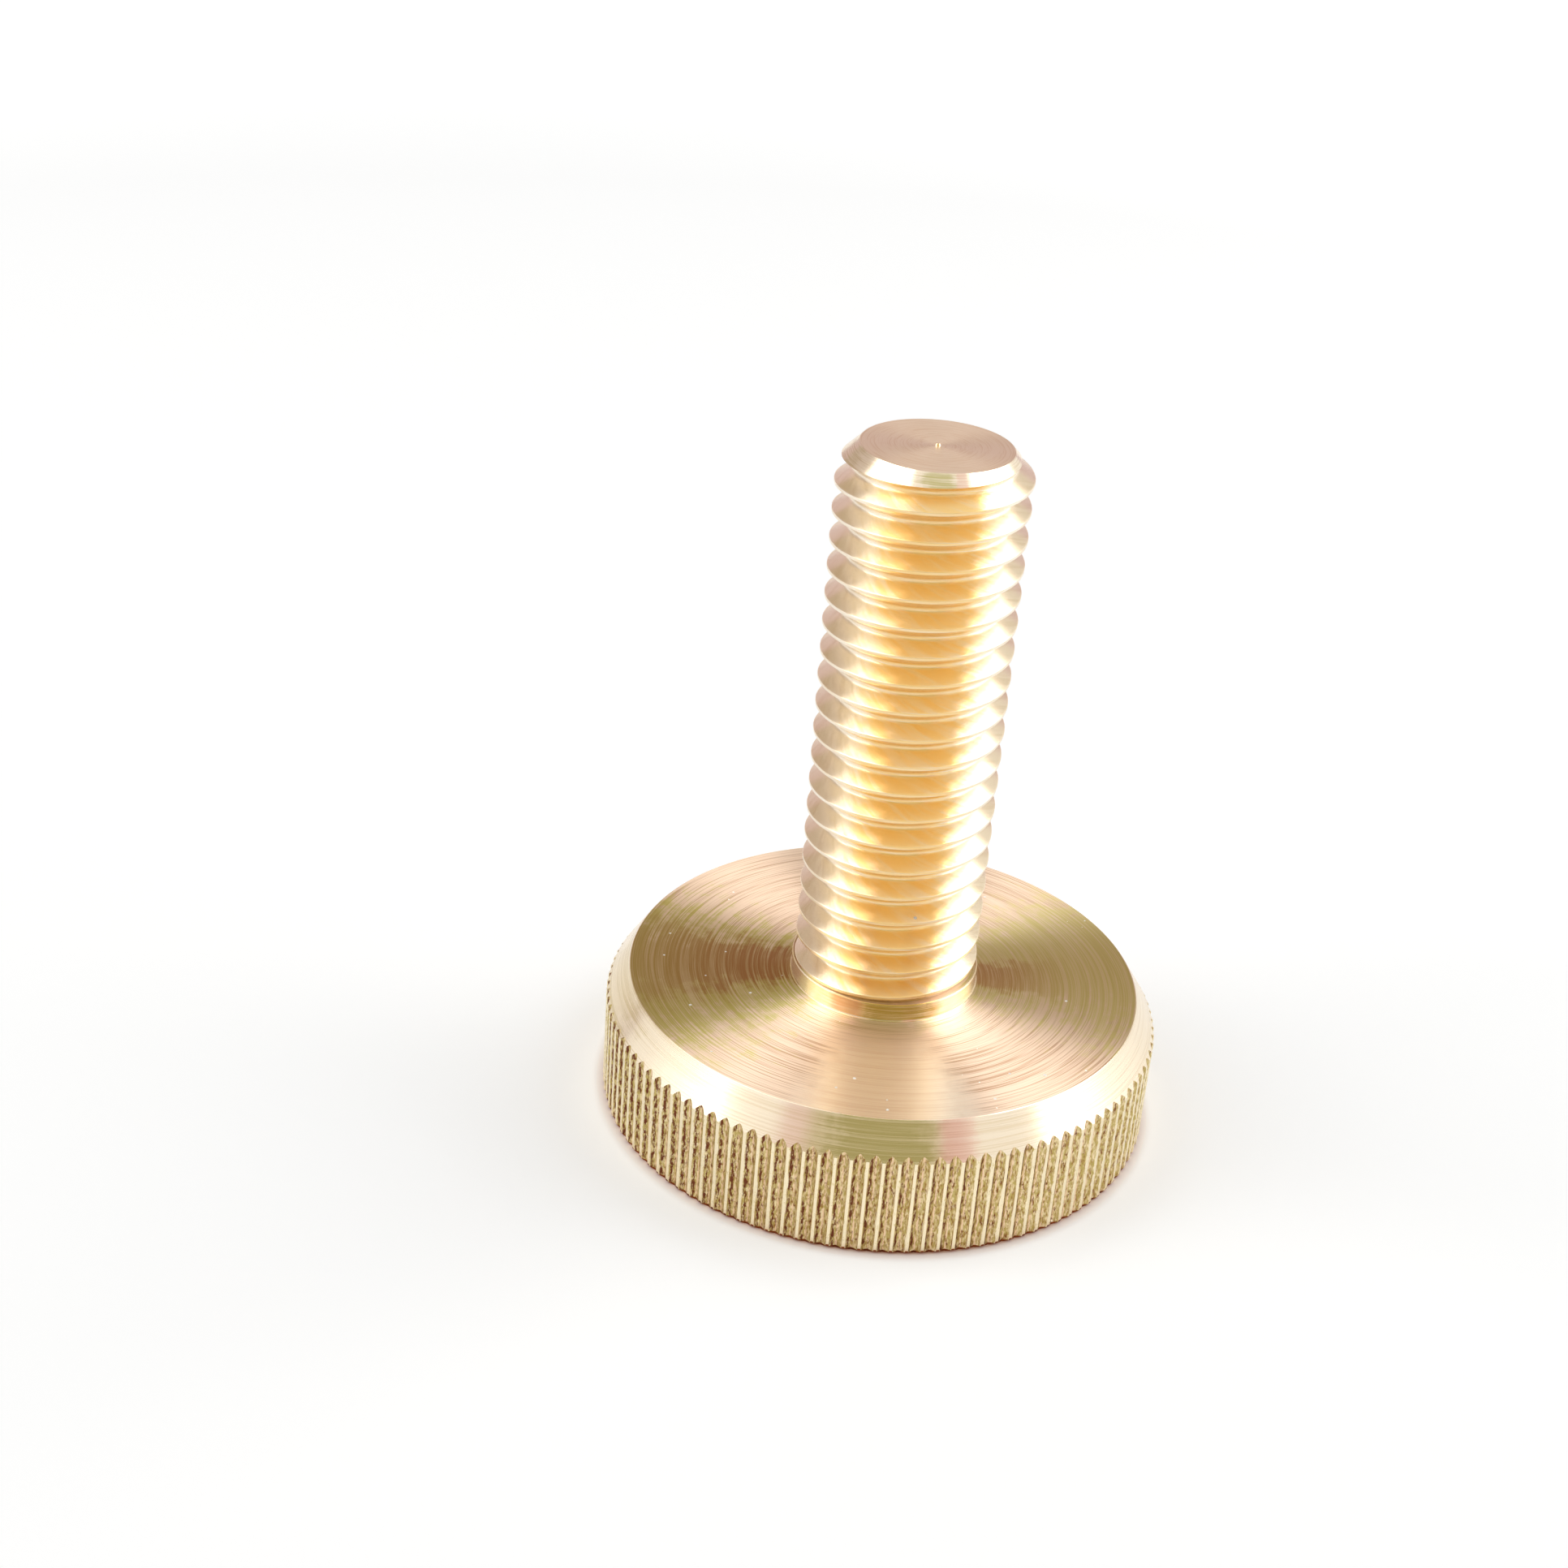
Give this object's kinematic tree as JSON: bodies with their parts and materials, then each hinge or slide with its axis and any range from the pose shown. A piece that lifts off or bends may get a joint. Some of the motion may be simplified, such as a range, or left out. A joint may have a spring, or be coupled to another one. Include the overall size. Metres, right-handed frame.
{
  "type": "thumb screw",
  "caption": "Knurled round-head thumb screw turned from brass, with a right-hand metric thread and a chamfered tip.",
  "frame": {"origin": "centre of the head's flat end face, which the screw stands on", "axes": "+Z along the screw's axis, from the head towards the tip"},
  "size_m": [0.0298, 0.0298, 0.0375],
  "materials": {
    "brass": "turned, bright"
  },
  "bodies": {
    "root": {"thumb_screw": "brass"}
  },
  "joints": []
}
